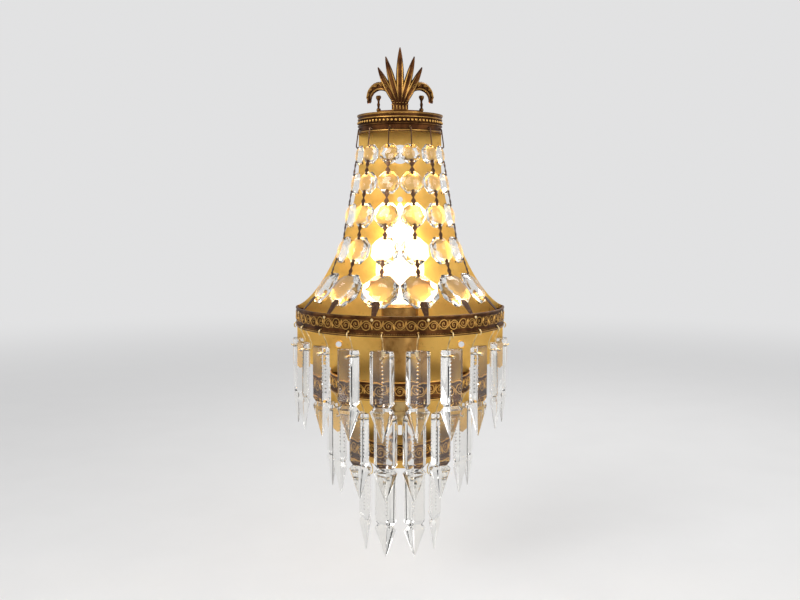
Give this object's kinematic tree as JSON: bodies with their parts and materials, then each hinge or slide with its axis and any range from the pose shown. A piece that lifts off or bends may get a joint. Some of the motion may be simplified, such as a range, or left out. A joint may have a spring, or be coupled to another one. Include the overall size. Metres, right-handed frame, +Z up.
{
  "type": "wall lamp",
  "caption": "Half-basket crystal wall lamp: brass backplate, stamped ring bands, palmette crest, strands of octagon beads and swinging spear prisms round a candle bulb.",
  "frame": {"origin": "centre of the hanging hole, in the wall plane at the backplate's back face", "axes": "+Z up, -Y out of the wall towards the room, +X to the right seen from the room"},
  "size_m": [0.162, 0.0818, 0.3691],
  "materials": {
    "bright_brass": "polished sheet brass, lightly tarnished",
    "aged_brass": "stamped brass with dark antique patina",
    "dark_brass": "dark oxidised brass clips",
    "hook_brass": "drawn brass wire",
    "crystal": "clear cut lead crystal",
    "bulb_glass": "warm lit clear glass",
    "porcelain": "ivory moulded insulator",
    "lead_sheath": "gold coloured insulation"
  },
  "bodies": {
    "root": {"backplate": "bright_brass", "crown_band": "aged_brass", "palmette_crest": "aged_brass", "main_ring": "aged_brass", "middle_ring": "aged_brass", "lower_ring": "aged_brass", "octagons": "crystal", "strand_links": "dark_brass", "lamp_bracket": "aged_brass", "bracket_screws": "hook_brass", "nipple_and_nuts": "dark_brass", "lamp_holder": "porcelain", "candle_sleeve": "aged_brass", "wire_leads": "lead_sheath"},
    "bulb": {"bulb_cap": "bright_brass", "bulb_glass": "bulb_glass"},
    "upper_pendant_01": {"upper_prism_01": "crystal", "upper_hook_01": "hook_brass"},
    "upper_pendant_02": {"upper_prism_02": "crystal", "upper_hook_02": "hook_brass"},
    "upper_pendant_03": {"upper_prism_03": "crystal", "upper_hook_03": "hook_brass"},
    "upper_pendant_04": {"upper_prism_04": "crystal", "upper_hook_04": "hook_brass"},
    "upper_pendant_05": {"upper_prism_05": "crystal", "upper_hook_05": "hook_brass"},
    "upper_pendant_06": {"upper_prism_06": "crystal", "upper_hook_06": "hook_brass"},
    "upper_pendant_07": {"upper_prism_07": "crystal", "upper_hook_07": "hook_brass"},
    "upper_pendant_08": {"upper_prism_08": "crystal", "upper_hook_08": "hook_brass"},
    "upper_pendant_09": {"upper_prism_09": "crystal", "upper_hook_09": "hook_brass"},
    "upper_pendant_10": {"upper_prism_10": "crystal", "upper_hook_10": "hook_brass"},
    "middle_pendant_01": {"middle_prism_01": "crystal", "middle_hook_01": "hook_brass"},
    "middle_pendant_02": {"middle_prism_02": "crystal", "middle_hook_02": "hook_brass"},
    "middle_pendant_03": {"middle_prism_03": "crystal", "middle_hook_03": "hook_brass"},
    "middle_pendant_04": {"middle_prism_04": "crystal", "middle_hook_04": "hook_brass"},
    "middle_pendant_05": {"middle_prism_05": "crystal", "middle_hook_05": "hook_brass"},
    "middle_pendant_06": {"middle_prism_06": "crystal", "middle_hook_06": "hook_brass"},
    "middle_pendant_07": {"middle_prism_07": "crystal", "middle_hook_07": "hook_brass"},
    "middle_pendant_08": {"middle_prism_08": "crystal", "middle_hook_08": "hook_brass"},
    "lower_pendant_01": {"lower_prism_01": "crystal", "lower_hook_01": "hook_brass"},
    "lower_pendant_02": {"lower_prism_02": "crystal", "lower_hook_02": "hook_brass"},
    "lower_pendant_03": {"lower_prism_03": "crystal", "lower_hook_03": "hook_brass"},
    "lower_pendant_04": {"lower_prism_04": "crystal", "lower_hook_04": "hook_brass"}
  },
  "joints": [
    {"name": "bulb_turn", "type": "hinge", "parent": "root", "child": "bulb", "pos_m": [0, -0.0238, -0.112], "axis": [0, 0, 1], "range_deg": [0, 355]},
    {"name": "upper_swing_01", "type": "hinge", "parent": "root", "child": "upper_pendant_01", "pos_m": [-0.07605, -0.01285, -0.1256], "axis": [-0.1564, 0.9877, 0], "range_deg": [-10, 75]},
    {"name": "upper_swing_02", "type": "hinge", "parent": "root", "child": "upper_pendant_02", "pos_m": [-0.06861, -0.03576, -0.1256], "axis": [-0.454, 0.891, 0], "range_deg": [-10, 75]},
    {"name": "upper_swing_03", "type": "hinge", "parent": "root", "child": "upper_pendant_03", "pos_m": [-0.05445, -0.05525, -0.1256], "axis": [-0.7071, 0.7071, 0], "range_deg": [-10, 75]},
    {"name": "upper_swing_04", "type": "hinge", "parent": "root", "child": "upper_pendant_04", "pos_m": [-0.03496, -0.06941, -0.1256], "axis": [-0.891, 0.454, 0], "range_deg": [-10, 75]},
    {"name": "upper_swing_05", "type": "hinge", "parent": "root", "child": "upper_pendant_05", "pos_m": [-0.01205, -0.07685, -0.1256], "axis": [-0.9877, 0.1564, 0], "range_deg": [-10, 75]},
    {"name": "upper_swing_06", "type": "hinge", "parent": "root", "child": "upper_pendant_06", "pos_m": [0.01205, -0.07685, -0.1256], "axis": [-0.9877, -0.1564, 0], "range_deg": [-10, 75]},
    {"name": "upper_swing_07", "type": "hinge", "parent": "root", "child": "upper_pendant_07", "pos_m": [0.03496, -0.06941, -0.1256], "axis": [-0.891, -0.454, 0], "range_deg": [-10, 75]},
    {"name": "upper_swing_08", "type": "hinge", "parent": "root", "child": "upper_pendant_08", "pos_m": [0.05445, -0.05525, -0.1256], "axis": [-0.7071, -0.7071, 0], "range_deg": [-10, 75]},
    {"name": "upper_swing_09", "type": "hinge", "parent": "root", "child": "upper_pendant_09", "pos_m": [0.06861, -0.03576, -0.1256], "axis": [-0.454, -0.891, 0], "range_deg": [-10, 75]},
    {"name": "upper_swing_10", "type": "hinge", "parent": "root", "child": "upper_pendant_10", "pos_m": [0.07605, -0.01285, -0.1256], "axis": [-0.1564, -0.9877, 0], "range_deg": [-10, 75]},
    {"name": "middle_swing_01", "type": "hinge", "parent": "root", "child": "middle_pendant_01", "pos_m": [-0.051, -0.01094, -0.1746], "axis": [-0.1951, 0.9808, 0], "range_deg": [-5, 30]},
    {"name": "middle_swing_02", "type": "hinge", "parent": "root", "child": "middle_pendant_02", "pos_m": [-0.04324, -0.02969, -0.1746], "axis": [-0.5556, 0.8315, 0], "range_deg": [-5, 30]},
    {"name": "middle_swing_03", "type": "hinge", "parent": "root", "child": "middle_pendant_03", "pos_m": [-0.02889, -0.04404, -0.1746], "axis": [-0.8315, 0.5556, 0], "range_deg": [-5, 30]},
    {"name": "middle_swing_04", "type": "hinge", "parent": "root", "child": "middle_pendant_04", "pos_m": [-0.01014, -0.0518, -0.1746], "axis": [-0.9808, 0.1951, 0], "range_deg": [-5, 30]},
    {"name": "middle_swing_05", "type": "hinge", "parent": "root", "child": "middle_pendant_05", "pos_m": [0.01014, -0.0518, -0.1746], "axis": [-0.9808, -0.1951, 0], "range_deg": [-5, 30]},
    {"name": "middle_swing_06", "type": "hinge", "parent": "root", "child": "middle_pendant_06", "pos_m": [0.02889, -0.04404, -0.1746], "axis": [-0.8315, -0.5556, 0], "range_deg": [-5, 30]},
    {"name": "middle_swing_07", "type": "hinge", "parent": "root", "child": "middle_pendant_07", "pos_m": [0.04324, -0.02969, -0.1746], "axis": [-0.5556, -0.8315, 0], "range_deg": [-5, 30]},
    {"name": "middle_swing_08", "type": "hinge", "parent": "root", "child": "middle_pendant_08", "pos_m": [0.051, -0.01094, -0.1746], "axis": [-0.1951, -0.9808, 0], "range_deg": [-5, 30]},
    {"name": "lower_swing_01", "type": "hinge", "parent": "root", "child": "lower_pendant_01", "pos_m": [-0.02587, -0.01152, -0.2242], "axis": [-0.3827, 0.9239, 0], "range_deg": [-3, 32]},
    {"name": "lower_swing_02", "type": "hinge", "parent": "root", "child": "lower_pendant_02", "pos_m": [-0.01072, -0.02667, -0.2242], "axis": [-0.9239, 0.3827, 0], "range_deg": [-3, 32]},
    {"name": "lower_swing_03", "type": "hinge", "parent": "root", "child": "lower_pendant_03", "pos_m": [0.01072, -0.02667, -0.2242], "axis": [-0.9239, -0.3827, 0], "range_deg": [-3, 32]},
    {"name": "lower_swing_04", "type": "hinge", "parent": "root", "child": "lower_pendant_04", "pos_m": [0.02587, -0.01152, -0.2242], "axis": [-0.3827, -0.9239, 0], "range_deg": [-3, 32]}
  ]
}
